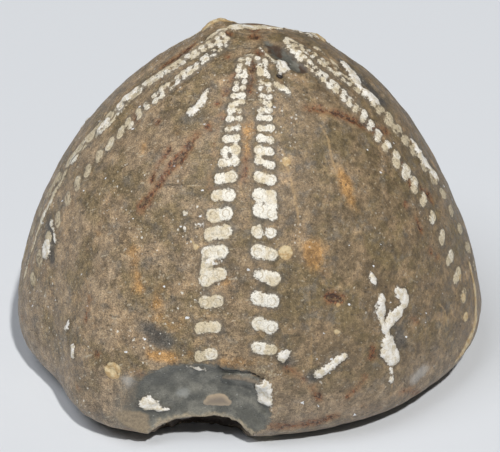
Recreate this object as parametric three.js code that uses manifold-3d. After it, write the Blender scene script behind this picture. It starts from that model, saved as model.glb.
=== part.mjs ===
// A fossil helmet-shaped sea urchin, preserved as one solid pebble of flint.
// Millimetres, +Z up, the front of the animal faces -Y.
// The pebble stands on its flat sole at z = 0, and the origin is the middle of its footprint.

import * as THREE from "three";
import { mergeVertices } from "three/addons/utils/BufferGeometryUtils.js";
import Module from "manifold-3d";

// ---- Driving dimensions ----

const RADIUS = 30.7; // half width across the widest part of the dome
const DEPTH_SHARE = 0.97; // front-to-back size as a share of the width
const RIM_HEIGHT = 5.5; // height of the widest part above the sole
const DOME_RISE = 38.9; // from the widest part up to the crown
const PLAN_POWER = 1.05; // how fast the dome widens below the crown
const RISE_POWER = 1.26; // how straight the flanks are
const SOLE_SHARE = 0.84; // radius of the flat sole as a share of RADIUS
const CROWN_LEAN = 1.4; // sideways lean of the crown, towards +X

// The outline seen from above is not quite round: [azimuth, half-angle, share of the radius].
// Azimuth is in degrees from the front (-Y), growing towards +X.
const OUTLINE_SWELLS = [
  [-57, 12, -0.04], // worn corner
  [-36, 15, 0.06], // bulging front-left shoulder
  [8, 24, -0.088], // flattened front
  [48, 16, -0.02],
  [80, 22, 0.03],
];
const SWELL_POWER = 6; // keeps the swells low down, near the rim

// Under the front the stone is bevelled, so the sole's edge is further in there.
const FRONT_BEVEL = { azimuth: 12, half: 42, share: 0.16 };

// Five double rows of pores run from crown to sole, each row on a low welt.
const RAY_FRONT_AZIMUTH = -2.5;
const RAY_COUNT = 5;
const ROW_HALF_ANGLE = 7.8; // each row's azimuth from the middle of its ray
const WELT_HALF_ANGLE = 3.2;
const WELT_HEIGHT = 0.28;

// A small knob of stone just behind the crown: [x, y, spread, height].
const CROWN_KNOB = { x: -3.4, y: 3.2, spread: 3.4, height: 1.0 };

// Broken rim at the front left: a shallow shell-shaped scar over an arched notch.
const SCAR = { centre: [-6.2, -30.2, 6.1], half: [11.8, 4.6, 9.0] };
const NOTCH = { centre: [-5.9, -29.5, -0.3], half: [8.8, 8.5, 5.8] };

// Hollows of the underside: the mouth towards the front and the vent at the back.
const MOUTH = { centre: [0.5, -10.5, -0.2], half: [4.6, 2.9, 1.7] };
const VENT = { centre: [0.5, 25.4, 1.0], half: [2.6, 2.2, 1.6] };

// Fineness of the faceted solid.
const SEGMENTS = 90;
const DOME_STEPS = 20;
const RIM_STEPS = 6;
const SOLE_STEPS = 2;
const CUTTER_SEGMENTS = 28;

// ---- The dome ----

function angleBetween(a, b) {
  return ((((a - b + 180) % 360) + 360) % 360) - 180;
}

function hump(distance, spread) {
  return Math.exp(-((distance / spread) ** 2));
}

function outlineShare(azimuth) {
  return OUTLINE_SWELLS.reduce(
    (share, [middle, half, amount]) =>
      share + amount * hump(angleBetween(azimuth, middle), half),
    1,
  );
}

function bevelShare(azimuth) {
  const offset = angleBetween(azimuth, FRONT_BEVEL.azimuth);
  return FRONT_BEVEL.share * hump(offset, FRONT_BEVEL.half);
}

function weltHeight(azimuth) {
  let height = 0;
  for (let ray = 0; ray < RAY_COUNT; ray++) {
    const middle = RAY_FRONT_AZIMUTH + (ray * 360) / RAY_COUNT;
    for (const side of [-1, 1]) {
      const offset = angleBetween(azimuth, middle + side * ROW_HALF_ANGLE);
      height += WELT_HEIGHT * hump(offset, WELT_HALF_ANGLE);
    }
  }
  return height;
}

// Half the section through the axis, from the middle of the sole out and up to the crown.
function sectionPoints() {
  const soleRadius = RADIUS * SOLE_SHARE;
  const points = [];
  for (let i = 0; i <= SOLE_STEPS; i++)
    points.push(new THREE.Vector2((soleRadius * i) / SOLE_STEPS, 0));
  for (let i = 1; i <= RIM_STEPS; i++) {
    const turn = (Math.PI / 2) * (1 - i / RIM_STEPS);
    points.push(
      new THREE.Vector2(
        RADIUS - (RADIUS - soleRadius) * (1 - Math.cos(turn)),
        RIM_HEIGHT * (1 - Math.sin(turn)),
      ),
    );
  }
  for (let i = 1; i <= DOME_STEPS; i++) {
    const turn = (Math.PI / 2) * (1 - i / DOME_STEPS);
    points.push(
      new THREE.Vector2(
        RADIUS * Math.sin(turn) ** PLAN_POWER,
        RIM_HEIGHT + DOME_RISE * Math.cos(turn) ** RISE_POWER,
      ),
    );
  }
  points[points.length - 1].x = 0;
  return points;
}

function domeGeometry() {
  const geometry = new THREE.LatheGeometry(sectionPoints(), SEGMENTS);
  geometry.rotateX(Math.PI / 2);
  const position = geometry.getAttribute("position");
  for (let i = 0; i < position.count; i++) {
    let radius = Math.hypot(position.getX(i), position.getY(i));
    const azimuth = THREE.MathUtils.radToDeg(
      Math.atan2(position.getX(i), -position.getY(i)),
    );
    let z = position.getZ(i);
    if (z < RIM_HEIGHT) {
      const under = 1 - z / RIM_HEIGHT;
      const onSole = radius / (RADIUS * SOLE_SHARE);
      const inward = z > 0 ? 1 - Math.sqrt(1 - under ** 2) : onSole;
      radius -= RADIUS * bevelShare(azimuth) * inward;
    }
    const spread = radius / RADIUS;
    const rise = Math.max(0, (z - RIM_HEIGHT) / DOME_RISE);
    const welt = rise > 0 ? weltHeight(azimuth) * spread : 0;
    const swollen = radius * (1 + (outlineShare(azimuth) - 1) * spread ** SWELL_POWER);
    const outer = swollen + welt;
    const turn = THREE.MathUtils.degToRad(azimuth);
    const x = outer * Math.sin(turn) + CROWN_LEAN * rise ** 2;
    const y = -outer * Math.cos(turn) * DEPTH_SHARE;
    if (rise > 0) {
      const toKnob = Math.hypot(x - CROWN_KNOB.x, y - CROWN_KNOB.y);
      z += CROWN_KNOB.height * hump(toKnob, CROWN_KNOB.spread);
    }
    position.setXYZ(i, x, y, z);
  }
  return geometry;
}

// ---- Cutting ----

const wasm = await Module();
wasm.setup();

function toSolid(geometry) {
  const bare = geometry.clone();
  bare.deleteAttribute("normal");
  bare.deleteAttribute("uv");
  const merged = mergeVertices(bare, 1e-4);
  return new wasm.Manifold(
    new wasm.Mesh({
      numProp: 3,
      vertProperties: merged.getAttribute("position").array,
      triVerts: new Uint32Array(merged.index.array),
    }),
  );
}

function toGeometry(solid) {
  const mesh = solid.getMesh();
  const geometry = new THREE.BufferGeometry();
  geometry.setAttribute(
    "position",
    new THREE.BufferAttribute(new Float32Array(mesh.vertProperties), 3),
  );
  geometry.setIndex(new THREE.BufferAttribute(new Uint32Array(mesh.triVerts), 1));
  geometry.computeVertexNormals();
  return geometry;
}

function scoop({ centre, half }) {
  const ball = new THREE.SphereGeometry(1, CUTTER_SEGMENTS, CUTTER_SEGMENTS / 2);
  ball.rotateX(Math.PI / 2);
  ball.scale(...half);
  ball.translate(...centre);
  return toSolid(ball);
}

function moveOverOrigin(geometry) {
  geometry.computeBoundingBox();
  const middle = geometry.boundingBox.getCenter(new THREE.Vector3());
  return geometry.translate(-middle.x, -middle.y, -geometry.boundingBox.min.z);
}

function urchinGeometry() {
  let solid = toSolid(domeGeometry());
  for (const cut of [SCAR, NOTCH, MOUTH, VENT]) solid = solid.subtract(scoop(cut));
  return moveOverOrigin(toGeometry(solid));
}

// ---- The part ----

const patina = new THREE.MeshStandardMaterial({
  color: 0x8a7a60,
  roughness: 0.5,
  metalness: 0,
});

const fossil = new THREE.Mesh(urchinGeometry(), patina);
fossil.name = "flint_urchin";

const group = new THREE.Group();
group.add(fossil);

export default group;
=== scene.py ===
# %% [markdown]
# # A fossil sea urchin in flint
# This urchin died in a chalk sea. Silica filled its shell and set as flint, and the shell dissolved,
# so what is left is one solid pebble with the shape of the shell's inside.
# The pebble is modelled as one fine mesh. First comes its smooth dome, then the relief of its pores,
# crusts and breaks, and last the weathered skin that colours it.

# %% Load the fixed frame
import math
from itertools import product

import bpy
import numpy as np
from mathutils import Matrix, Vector


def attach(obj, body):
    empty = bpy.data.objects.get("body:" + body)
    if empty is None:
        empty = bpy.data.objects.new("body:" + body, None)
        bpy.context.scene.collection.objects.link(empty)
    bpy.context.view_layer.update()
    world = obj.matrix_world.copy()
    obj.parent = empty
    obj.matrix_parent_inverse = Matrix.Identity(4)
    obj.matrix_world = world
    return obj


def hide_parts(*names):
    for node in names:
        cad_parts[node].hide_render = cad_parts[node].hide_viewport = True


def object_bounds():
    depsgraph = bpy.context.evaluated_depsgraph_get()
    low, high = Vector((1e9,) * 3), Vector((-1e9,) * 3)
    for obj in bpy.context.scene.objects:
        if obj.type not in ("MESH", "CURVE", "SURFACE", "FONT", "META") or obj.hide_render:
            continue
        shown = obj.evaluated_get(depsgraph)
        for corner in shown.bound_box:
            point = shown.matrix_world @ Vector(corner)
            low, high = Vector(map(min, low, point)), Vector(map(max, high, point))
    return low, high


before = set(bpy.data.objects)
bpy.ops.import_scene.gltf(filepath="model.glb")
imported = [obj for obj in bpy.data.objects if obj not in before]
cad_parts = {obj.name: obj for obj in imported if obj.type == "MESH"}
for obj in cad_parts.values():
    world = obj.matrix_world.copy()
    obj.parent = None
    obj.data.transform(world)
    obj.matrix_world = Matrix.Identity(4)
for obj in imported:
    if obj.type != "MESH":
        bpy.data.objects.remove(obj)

cad_low, cad_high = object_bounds()
width, depth, height = (cad_high - cad_low) * 1000
print(f"the solid is {width:.1f} x {depth:.1f} x {height:.1f} mm")

# %% [markdown]
# ## Sizes
# Blender works in metres, but a stone this small is easier to think about in millimetres.
# So every size below is in millimetres, and the mesh is scaled once, when it is made.
# The shape is worked out from the solid's own width and height, so the two always agree.

# %% Sizes of the dome
MM = 0.001
RADIUS = 0.4938 * width
DEPTH_SHARE = 0.97
RIM_HEIGHT = 0.1232 * height
DOME_RISE = 0.8714 * height
PLAN_POWER = 1.05
RISE_POWER = 1.26
SOLE_SHARE = 0.84
CROWN_LEAN = 1.4
AXIS = np.array([-0.40, -1.24, 0.0])  # the dome's axis, from the middle of the footprint

# The outline seen from above: (azimuth, half-angle, share of the radius).
OUTLINE_SWELLS = [
    (-57, 12, -0.04),
    (-36, 15, 0.06),
    (8, 24, -0.088),
    (48, 16, -0.02),
    (80, 22, 0.03),
]
SWELL_POWER = 6
FRONT_BEVEL = (12, 42, 0.16)  # under the front, the sole's edge is further in
print(f"radius {RADIUS:.1f} mm, rim {RIM_HEIGHT:.1f} mm up, rise {DOME_RISE:.1f} mm")

# %% [markdown]
# ## Camera
# The fossil is seen from in front and well above, as a collector would look at it on a table.
# A long lens keeps its proportions honest: a short one would swell the crown and shrink the rim.

# %% Camera
VIEW_RISE = math.radians(32)
VIEW_DISTANCE = 300
LENS = 163
AIM = Vector((0.15, -1.24, 16.74))

camera = bpy.data.objects.new("camera", bpy.data.cameras.new("camera"))
bpy.context.scene.collection.objects.link(camera)
toward_camera = Vector((0, -math.cos(VIEW_RISE), math.sin(VIEW_RISE)))
camera.location = (AIM + toward_camera * VIEW_DISTANCE) * MM
camera.rotation_euler = toward_camera.to_track_quat("Z", "Y").to_euler()
camera.data.lens = LENS
camera.data.clip_start = 0.01
bpy.context.scene.camera = camera
print(f"camera {VIEW_DISTANCE} mm away, {math.degrees(VIEW_RISE):.0f} degrees up")

# %% [markdown]
# ## Light
# A fossil's relief shows best under one fairly small lamp, high and a little to one side, with a
# wide soft lamp opposite to open the shadows. A pale sky fills the rest. The lamps stand well back,
# so the table is lit evenly, and they are placed by direction, so moving one means changing two
# angles.

# %% Light
def add_lamp(name, azimuth, rise, distance, size, power, colour):
    """An area lamp that points at the middle of the fossil."""
    data = bpy.data.lights.new(name, "AREA")
    data.shape = "DISK"
    data.size = size
    data.energy = power
    data.color = colour
    lamp = bpy.data.objects.new(name, data)
    turn, lift = math.radians(azimuth), math.radians(rise)
    away = Vector((math.sin(turn) * math.cos(lift), -math.cos(turn) * math.cos(lift), math.sin(lift)))
    lamp.location = away * distance + Vector((0, 0, 0.02))
    lamp.rotation_euler = away.to_track_quat("Z", "Y").to_euler()
    bpy.context.scene.collection.objects.link(lamp)


add_lamp("key lamp", azimuth=20, rise=57, distance=4, size=0.24, power=122, colour=(1.0, 0.97, 0.93))
add_lamp("soft lamp", azimuth=-60, rise=62, distance=4, size=2.6, power=62, colour=(0.96, 0.97, 1.0))

world = bpy.data.worlds.new("pale sky")
world.use_nodes = True
sky = world.node_tree.nodes["Background"]
sky.inputs["Color"].default_value = (0.86, 0.9, 0.95, 1)
sky.inputs["Strength"].default_value = 0.06
bpy.context.scene.world = world
bpy.context.scene.view_settings.view_transform = "Standard"
print("two lamps and a pale sky")

# %% [markdown]
# ## Floor
# The floor is a sheet of cool white card. It is plain, so that nothing on it competes with the stone.

# %% Floor
def make_floor():
    half = 1.5
    mesh = bpy.data.meshes.new("floor")
    corners = [(-half, -half, 0), (half, -half, 0), (half, half, 0), (-half, half, 0)]
    mesh.from_pydata(corners, [], [(0, 1, 2, 3)])
    floor = bpy.data.objects.new("floor", mesh)
    bpy.context.scene.collection.objects.link(floor)
    card = bpy.data.materials.new("white card")
    card.use_nodes = True
    shader = card.node_tree.nodes["Principled BSDF"]
    shader.inputs["Base Color"].default_value = (0.71, 0.745, 0.79, 1)
    shader.inputs["Roughness"].default_value = 0.9
    mesh.materials.append(card)
    return floor


print("floor", [round(v, 2) for v in make_floor().dimensions], "m")

# %% [markdown]
# ## The smooth dome
# A helmet urchin is a lathe shape that has been pushed about a little: it leans, it is flattened in
# front and it bulges at one shoulder. A modelled lathe would need those pushed in by hand. Here one
# function gives a point for any azimuth (degrees round from the front) and station (0 at the crown,
# 1 at the widest part, 2 at the edge of the flat sole, 3 at its middle). The same function then
# places every pore, crust and vein, so nothing can float off the surface.

# %% Points on the dome
def angle_between(a, b):
    return (a - b + 180) % 360 - 180


def hump(distance, spread):
    return np.exp(-((distance / spread) ** 2))


def outline_share(azimuth):
    share = np.ones_like(azimuth)
    for middle, half, amount in OUTLINE_SWELLS:
        share = share + amount * hump(angle_between(azimuth, middle), half)
    return share


def dome_points(azimuth, station):
    """Points on the smooth dome, in millimetres from the middle of the footprint."""
    azimuth, station = np.broadcast_arrays(np.asarray(azimuth, float), np.asarray(station, float))
    middle, half, share = FRONT_BEVEL
    sole_radius = RADIUS * (SOLE_SHARE - share * hump(angle_between(azimuth, middle), half))
    up = np.clip(station, 0, 1) * np.pi / 2
    under = np.clip(station - 1, 0, 1) * np.pi / 2
    radius = RADIUS * np.sin(up) ** PLAN_POWER
    radius = radius - (RADIUS - sole_radius) * (1 - np.cos(under))
    radius = radius * (1 - np.clip(station - 2, 0, 1))
    rise = np.clip(np.cos(up), 0, 1) ** RISE_POWER
    z = RIM_HEIGHT * (1 - np.sin(under)) + DOME_RISE * rise
    spread = radius / RADIUS
    outer = radius * (1 + (outline_share(azimuth) - 1) * spread**SWELL_POWER)
    turn = np.radians(azimuth)
    x = outer * np.sin(turn) + CROWN_LEAN * rise**2
    y = -outer * np.cos(turn) * DEPTH_SHARE
    return np.stack([x, y, z], -1) + AXIS


print("front of the rim:", dome_points(0, 1).round(1), "crown:", dome_points(0, 0).round(1))

# %% [markdown]
# ## A grid of points
# The mesh is a grid of rings from the crown to the middle of the sole. Detail costs triangles, so
# the columns crowd together in front, and along the rows of pores, where the relief is finest.

# %% Rings and columns
COLUMNS = 510
RINGS = {"dome": 160, "rim": 20, "sole": 12}
ROW_PLACES = [-3, 69, -77, 139, -139]  # the azimuths with fine relief
FRONT_CROWDING = (0.75, 100)  # how much denser the columns are, and over how many degrees
ROW_CROWDING = (0.45, 14)
SOLE_CROWDING = 1.3


def column_azimuths():
    fine = np.linspace(-180, 180, 7201)
    amount, spread = FRONT_CROWDING
    density = 0.6 + amount * hump(fine, spread)
    amount, spread = ROW_CROWDING
    for place in ROW_PLACES:
        density = density + amount * hump(angle_between(fine, place), spread)
    share = np.cumsum(density) - density[0]
    return np.interp(np.arange(COLUMNS) / COLUMNS, share / share[-1], fine)


def ring_stations():
    dome = np.linspace(0, 1, RINGS["dome"] + 1)[1:]
    rim = 1 + np.linspace(0, 1, RINGS["rim"] + 1)[1:]
    sole = 2 + np.linspace(0, 1, RINGS["sole"] + 1)[1:-1] ** SOLE_CROWDING
    return np.concatenate([dome, rim, sole])


azimuths = column_azimuths()
stations = ring_stations()
grid_azimuth, grid_station = np.meshgrid(azimuths, stations)
grid_azimuth = np.concatenate([[0.0], grid_azimuth.ravel(), [0.0]])
grid_station = np.concatenate([[0.0], grid_station.ravel(), [3.0]])
smooth = dome_points(grid_azimuth, grid_station)
print(f"{len(smooth)} points in {len(stations)} rings")

# %% [markdown]
# ## Random grain
# Stone is never even, at any scale. This function gives smooth random bumps of a chosen size. It
# hashes the corners of a lattice instead of drawing random numbers, so the same place always gets
# the same bump, whatever order things are made in.

# %% Grain
def lattice_value(corner, seed):
    a, b, c = (corner[:, i].astype(np.uint64) for i in range(3))
    mixed = a * np.uint64(73856093) ^ b * np.uint64(19349663) ^ c * np.uint64(83492791)
    mixed = (mixed + np.uint64(seed) * np.uint64(2654435761)) & np.uint64(0xFFFFFFFF)
    mixed = (mixed ^ (mixed >> np.uint64(15))) * np.uint64(2246822519) & np.uint64(0xFFFFFFFF)
    mixed = (mixed ^ (mixed >> np.uint64(13))) * np.uint64(3266489917) & np.uint64(0xFFFFFFFF)
    mixed = mixed ^ (mixed >> np.uint64(16))
    return mixed.astype(float) / 2**31 - 1


def grain(points, size, seed):
    """Smooth random bumps about `size` mm across, from -1 to 1."""
    place = points / size + 1000
    corner = np.floor(place).astype(np.int64)
    part = place - corner
    part = part * part * (3 - 2 * part)
    total = np.zeros(len(points))
    for step in product((0, 1), repeat=3):
        weight = np.prod(np.where(step, part, 1 - part), axis=1)
        total += weight * lattice_value(corner + np.array(step), seed)
    return total


def rough_grain(points, size, seed, layers=3):
    """Several sizes of grain together, each half the size and strength of the last."""
    return sum(grain(points, size / 2**i, seed + i) / 2**i for i in range(layers))


print("grain runs from", grain(smooth, 3, 1).min().round(2), "to", grain(smooth, 3, 1).max().round(2))

# %% [markdown]
# ## Distance fields
# Every mark on the stone is drawn with one idea: for each point of the mesh, how far is it from the
# mark? The answer is negative inside and positive outside. A colour or a height can then follow the
# edge exactly, even between two points of the mesh, which a painted mask could not do.
# A mark is a trail of (azimuth, station, half width in millimetres).

# %% Distance to a trail
FAR = 9.0


def distance_to_rod(points, start, end, wide, narrow):
    """Distance from each point to a rod that tapers from `wide` to `narrow`."""
    along = end - start
    share = np.clip((points - start) @ along / (along @ along), 0, 1)
    away = np.linalg.norm(points - start - share[:, None] * along, axis=1)
    return away - wide - share * (narrow - wide)


def distance_to_trail(points, trail):
    """Distance from each point to a tapering trail on the dome."""
    steps = np.array(trail, float)
    places = dome_points(steps[:, 0], steps[:, 1])
    widths = steps[:, 2]
    if len(trail) == 1:
        return np.linalg.norm(points - places[0], axis=1) - widths[0]
    nearest = np.full(len(points), FAR)
    for rod in zip(places[:-1], places[1:], widths[:-1], widths[1:]):
        nearest = np.minimum(nearest, distance_to_rod(points, *rod))
    return nearest


def distance_to_trails(points, trails):
    nearest = np.full(len(points), FAR)
    for trail in trails:
        nearest = np.minimum(nearest, distance_to_trail(points, trail))
    return nearest


def edge_fade(distance, softness):
    """1 inside a mark, 0 outside, smooth across its edge."""
    share = np.clip(0.5 - distance / (2 * softness), 0, 1)
    return share * share * (3 - 2 * share)


dot = distance_to_trail(smooth, [(0, 0.3, 1.0)])
print("a dot in front of the crown covers", (dot < 0).sum(), "points")

# %% [markdown]
# ## The rows of pores
# A sea urchin breathes through tube feet, and each foot came out through a pair of pores. The pairs
# run in ten rows, two to a ray, from the crown to the sole. New plates form at the crown and grow as
# they move down, so each pair is a fixed share further from the crown than the one above it: the
# spacing is a geometric series, not an even one, down to a least step close to the crown. The pores
# filled with pale silica, which is what shows now. Where two fillings touched they fused, so most
# pairs are one block with a bitten edge, and a few are joined to the pair above.

# %% Lay out the pores
# For each ray: the azimuth of its middle, the drift to the rim, the half-angle between its rows, and
# how the rows bend and flare near the crown; the first station, the growth from pair to pair, and
# the sizes of the pores and of the pairs; and how well each row has kept at three stations.
RAYS = [
    {
        "middle": -2.6, "drift": 0.0, "half": 7.4, "bend": -8, "flare": 0.9,
        "first": 0.104, "growth": 1.083, "size": 1.0, "pair": 1.0,
        "kept": {-1: (1.0, 1.0, 0.8), 1: (1.0, 1.1, 0.95)},
    },
    {
        "middle": 64.0, "drift": 15.5, "half": 6.9, "bend": 50, "flare": 0.35,
        "first": 0.09, "growth": 1.075, "size": 0.92, "pair": 0.55,
        "kept": {-1: (1.0, 0.9, 0.8), 1: (0.9, 0.6, 0.65)},
    },
    {
        "middle": -69.5, "drift": -13.5, "half": 7.7, "bend": -45, "flare": 0.35,
        "first": 0.09, "growth": 1.078, "size": 0.9, "pair": 0.4,
        "kept": {-1: (0.9, 0.7, 0.5), 1: (1.05, 0.7, 0.55)},
    },
    {
        "middle": 139.0, "drift": 4.0, "half": 7.6, "bend": 0, "flare": 0.35,
        "first": 0.19, "growth": 1.077, "size": 0.85, "pair": 0.8,
        "kept": {-1: (0.95, 0.85, 0.5), 1: (1.0, 0.9, 0.6)},
    },
    {
        "middle": -139.0, "drift": -4.0, "half": 7.6, "bend": 0, "flare": 0.35,
        "first": 0.16, "growth": 1.079, "size": 0.85, "pair": 0.8,
        "kept": {-1: (1.0, 0.8, 0.55), 1: (0.95, 0.9, 0.6)},
    },
]
KEPT_STATIONS = (0.25, 0.5, 0.8)
LAST_STATION = 1.9
CROWN_TO_FLANK = (0.15, 0.28, 0.5)  # the stations between which the pores grow to full size
PORE_RADIUS = (0.39, 0.455, 0.9)
LEAST_STEP = 0.0192  # near the crown the pairs stop crowding
BAR_THICKNESS = (0.7, 0.85, 1.0)  # of the bar that joins a pair, as a share of the pores
PAIR_REACH = (0.43, 0.55, 0.78)  # half the distance between the two pores of a pair
WORN = [(-10.4, 0.651), (-69, 0.62), (62, 0.72)]  # places where the filling has nearly gone
WORN_REACH = 1.3
RIM_LOSS = ((0.825, 0.86, 1.4, 1.7), (1, 0, 0, 0.6))  # the rim is rubbed clean
BEND_REACH, FLARE_REACH = 0.1, 0.22
WANDER = (0.25, 0.0026)  # how far a pore strays from its place, in degrees and stations
PAIR_TILT = 0.003


def row_azimuth(ray, side, station):
    spread = 1 + ray["flare"] * hump(station, FLARE_REACH)
    middle = ray["middle"] + ray["drift"] * station + ray["bend"] * hump(station, BEND_REACH)
    return middle + side * ray["half"] * spread


def grown(station, sizes, flank_share=1.0):
    """The size at a station, from sizes at the crown, below it and on the flank."""
    return np.interp(station, CROWN_TO_FLANK, (*sizes[:2], sizes[2] * flank_share))


def pore_strength(ray, side, station):
    """How well the filling has kept: 1 is bright and whole, 0 is worn away."""
    place = dome_points(row_azimuth(ray, side, station), station)
    worn = sum(hump(np.linalg.norm(place - dome_points(*spot)), WORN_REACH) for spot in WORN)
    kept = np.interp(station, KEPT_STATIONS, ray["kept"][side]) * (1 - 0.6 * min(worn, 1))
    return kept * np.interp(station, *RIM_LOSS)


def lay_out_pores(seed):
    """Each pore as (place, radius, strength), and the bars that fuse some of them together."""
    random = np.random.default_rng(seed)
    pores, bars = [], []
    for ray, side in product(RAYS, (-1, 1)):
        station, above = ray["first"] * (1 - 0.008 * side), None
        while station < LAST_STATION:
            radius = grown(station, PORE_RADIUS, ray["size"])
            middle = row_azimuth(ray, side, station)
            reach = np.linalg.norm(dome_points(middle, station)[:2] - dome_points(0, 0)[:2])
            half_gap = grown(station, PAIR_REACH, ray["pair"])
            shift = math.degrees(half_gap / max(reach, 1))
            strength = pore_strength(ray, side, station)
            pair = []
            for inner in (-1, 1):
                place = dome_points(
                    middle + inner * shift + random.normal(0, WANDER[0]),
                    station + inner * side * PAIR_TILT + random.normal(0, WANDER[1]),
                )
                size = radius * random.uniform(0.84, 1.08)
                pair.append((place, size, strength * random.uniform(0.8, 1.14)))
            pores += pair
            if random.random() < 0.85:
                thickness = random.uniform(0.9, 1.0) * grown(station, BAR_THICKNESS)
                bars.append((pair[0], pair[1], thickness))
            if above and random.random() < (0.16 if station > 0.33 else 0.05):
                pick = random.integers(2)
                bars.append((pair[pick], above[pick], random.uniform(0.75, 0.95)))
            above = pair
            station += max(station * (ray["growth"] - 1), LEAST_STEP)
    return pores, bars


pores, bars = lay_out_pores(seed=4)
print(f"{len(pores)} pores, {len(bars)} bars between them")

# %% Distance to the nearest pore
BAR_REACH = 4  # points further from a bar than this are not measured


def pore_fields(points):
    """For each point: distance to the pores, how far out from its pore's middle, and strength."""
    nearest = np.full(len(points), FAR)
    eye = np.full(len(points), 3.0)
    strength = np.zeros(len(points))
    for place, radius, kept in pores:
        close = np.nonzero(np.abs(points - place).max(axis=1) < 3 * radius)[0]
        away = np.linalg.norm(points[close] - place, axis=1)
        better = close[away - radius < nearest[close]]
        away = np.linalg.norm(points[better] - place, axis=1)
        nearest[better] = away - radius
        eye[better] = away / radius
        strength[better] = kept
    for (start, wide, _), (end, narrow, _), share in bars:
        close = np.nonzero(np.abs(points - start).max(axis=1) < BAR_REACH)[0]
        away = distance_to_rod(points[close], start, end, share * wide, share * narrow)
        nearest[close] = np.minimum(nearest[close], away)
    return nearest, eye, strength


pore_distance, pore_eye, pore_kept = pore_fields(smooth)
print(f"{(pore_distance < 0).sum()} points lie on pore fillings")

# %% [markdown]
# ## Crusts, veins and stains
# Flint from chalk keeps scraps of it: bright crusts that stand proud of the skin. Iron has left
# rusty veins and ochre patches, and where the skin is knocked off the dark flint shows. Each is a
# short list of trails, placed by azimuth and station like the pores.

# %% Where the pale marks are
CHALK = [
    [(-36, 0.224, 0.25), (-35, 0.249, 0.45), (-36, 0.284, 0.7)],
    [(34, 0.128, 0.85), (31, 0.142, 0.8)],
    [(95, 0.255, 0.7), (88, 0.272, 1.1), (82, 0.29, 1.0), (79, 0.305, 0.5), (78, 0.33, 0.9),
     (79, 0.355, 0.6)],
    [(82, 0.489, 0.55), (80, 0.519, 1.0), (81, 0.549, 1.05), (82, 0.589, 0.6)],
    [(-70, 0.718, 1.1)],
    [(-82.5, 0.33, 0.5), (-83, 0.355, 0.7), (-83, 0.385, 0.4)],
    [(-80.5, 0.42, 0.4), (-80.5, 0.45, 0.45)],
    [(-74, 0.663, 0.2), (-70, 0.668, 0.25), (-67, 0.683, 0.22)],
    [(38, 0.708, 0.45), (37, 0.738, 0.6), (36.8, 0.765, 0.55), (38, 0.793, 0.5)],
    [(43.6, 0.708, 0.5), (45.2, 0.728, 0.85), (45.6, 0.746, 0.7)],
    [(44.6, 0.748, 0.3), (42.2, 0.762, 0.75), (40.6, 0.764, 0.65), (38.4, 0.782, 0.5)],
    [(38, 0.785, 0.45), (38, 0.80, 0.45), (37.8, 0.822, 1.05), (38.4, 0.845, 1.25), (39.2, 0.866, 0.95),
     (39.8, 0.878, 0.6)],
    [(38.2, 0.895, 0.3), (38.0, 0.93, 0.36)],
    [(19, 0.863, 0.7), (22, 0.843, 0.55), (26, 0.823, 0.42)],
    [(9, 0.808, 0.65), (10.5, 0.80, 0.5)],
    [(4.4, 0.885, 0.85), (4.9, 0.93, 0.9)],
    [(-24.7, 0.955, 0.85), (-24.0, 0.965, 1.0)],
    [(-23.2, 0.98, 0.5), (-21.8, 0.995, 0.34), (-20, 1.0, 0.2)],
    [(-14.5, 0.828, 0.16), (-12, 0.832, 0.28), (-10.2, 0.836, 0.2)],
    # The next two marks are painted glints: bright specks of reflected light, drawn as chalk.
    [(-22, 0.499, 0.24)],
    [(-21, 0.514, 0.16), (-21, 0.53, 0.18)],
    [(-16, 0.519, 0.36)],
    [(-12, 0.59, 0.16), (-8.5, 0.592, 0.2)],
    [(36, 0.655, 0.3), (36.4, 0.678, 0.36)],
    [(-50, 0.81, 0.2), (-50.5, 0.83, 0.15)],
    [(-46, 0.85, 0.22), (-45, 0.87, 0.15)],
    [(150, 0.42, 0.5), (154, 0.47, 0.8)],
    [(-152, 0.62, 0.7), (-149, 0.66, 0.4)],
    [(112, 0.78, 0.6), (116, 0.74, 0.35)],
    [(-112, 0.55, 0.4), (-115, 0.60, 0.65)],
    [(170, 0.80, 0.9), (176, 0.83, 0.6)],
]
# In places the fillings of a row have run together into a ragged band of cream silica.
BANDS = [
    [(-4, 0.085, 0.25), (-19, 0.095, 0.3), (-16, 0.13, 0.25)],
    [(-2, 0.085, 0.3), (4, 0.12, 0.35), (6, 0.16, 0.3)],
    [(84, 0.09, 0.5), (70, 0.13, 0.45), (63.5, 0.175, 0.3)],
    [(98, 0.169, 0.25), (86, 0.211, 0.25), (77, 0.25, 0.2)],
    [(-120, 0.10, 0.5), (-100, 0.13, 0.6), (-87, 0.165, 0.7), (-84, 0.235, 0.65)],
    [(-84, 0.235, 0.65), (-82, 0.29, 0.75), (-83.5, 0.344, 1.0), (-80, 0.424, 0.8)],
    [(-80, 0.424, 0.8), (-81, 0.484, 0.7), (-83, 0.56, 0.65), (-81, 0.64, 0.5), (-80, 0.74, 0.35),
     (-79, 0.86, 0.2)],
    [(-135, 0.09, 0.8), (-168, 0.10, 0.95), (170, 0.11, 0.8), (150, 0.13, 0.5)],
    [(15, 0.05, 0.2), (25, 0.112, 0.24), (30, 0.15, 0.16)],
    [(12, 0.185, 0.32), (19, 0.188, 0.36), (25, 0.222, 0.15)],
]
TAN = [
    [(11, 0.574, 0.85)], [(14, 0.384, 0.48)], [(-16, 0.564, 0.42)],
    [(-18, 0.548, 0.1), (-16.5, 0.56, 0.14)],
    [(-32, 0.853, 1.05)], [(24, 0.76, 0.35)], [(25, 0.70, 0.3)],
    [(-128, 0.17, 0.7), (-140, 0.165, 1.2), (-150, 0.15, 0.8)],
    [(128, 0.24, 0.7), (133, 0.26, 0.8)],
    [(62.4, 1.12, 0.3), (69.9, 0.995, 0.6), (74.5, 0.947, 0.65), (77.7, 0.87, 0.5), (79, 0.80, 0.3)],
    [(70.6, 0.79, 0.5)], [(69.5, 0.84, 0.62)], [(68.7, 0.894, 0.6)],
]
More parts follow.
